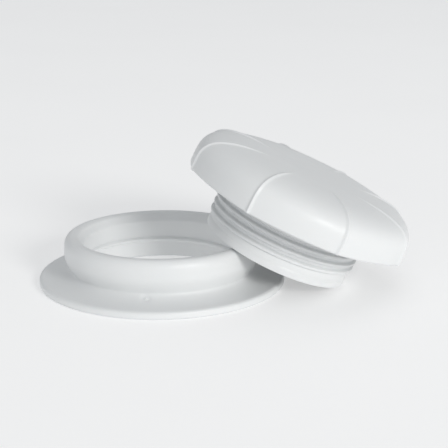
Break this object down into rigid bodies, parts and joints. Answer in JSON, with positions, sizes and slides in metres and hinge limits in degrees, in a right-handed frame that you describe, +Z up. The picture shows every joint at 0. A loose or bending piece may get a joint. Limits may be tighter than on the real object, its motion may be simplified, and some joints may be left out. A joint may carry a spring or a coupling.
{
  "type": "desk grommet",
  "caption": "Flanged, flared collar with a threaded bore for cables, and the fluted domed screw cap that closes it, leaning on the collar.",
  "frame": {"origin": "centre of the flange's flat underside, on the collar's axis", "axes": "+Z up the collar towards its mouth, +X towards the side on which the cap leans"},
  "size_m": [0.1188, 0.0794, 0.0476],
  "materials": {
    "white_plastic": "satin white moulding",
    "washer_rubber": "soft grey rubber"
  },
  "bodies": {
    "collar": {"base_ring": "white_plastic"},
    "washer": {"sealing_washer": "washer_rubber"},
    "cap": {"screw_cap": "white_plastic"}
  },
  "joints": [
    {"name": "cap_swing", "type": "hinge", "parent": "collar", "child": "washer", "pos_m": [-0.01385, 0, -0.06751], "axis": [0, -1, 0], "range_deg": [0, 24.4]},
    {"name": "cap_turn", "type": "hinge", "parent": "washer", "child": "cap", "pos_m": [0.04301, 0, 0.02431], "axis": [0.4131, 0, 0.9107], "continuous": true}
  ]
}
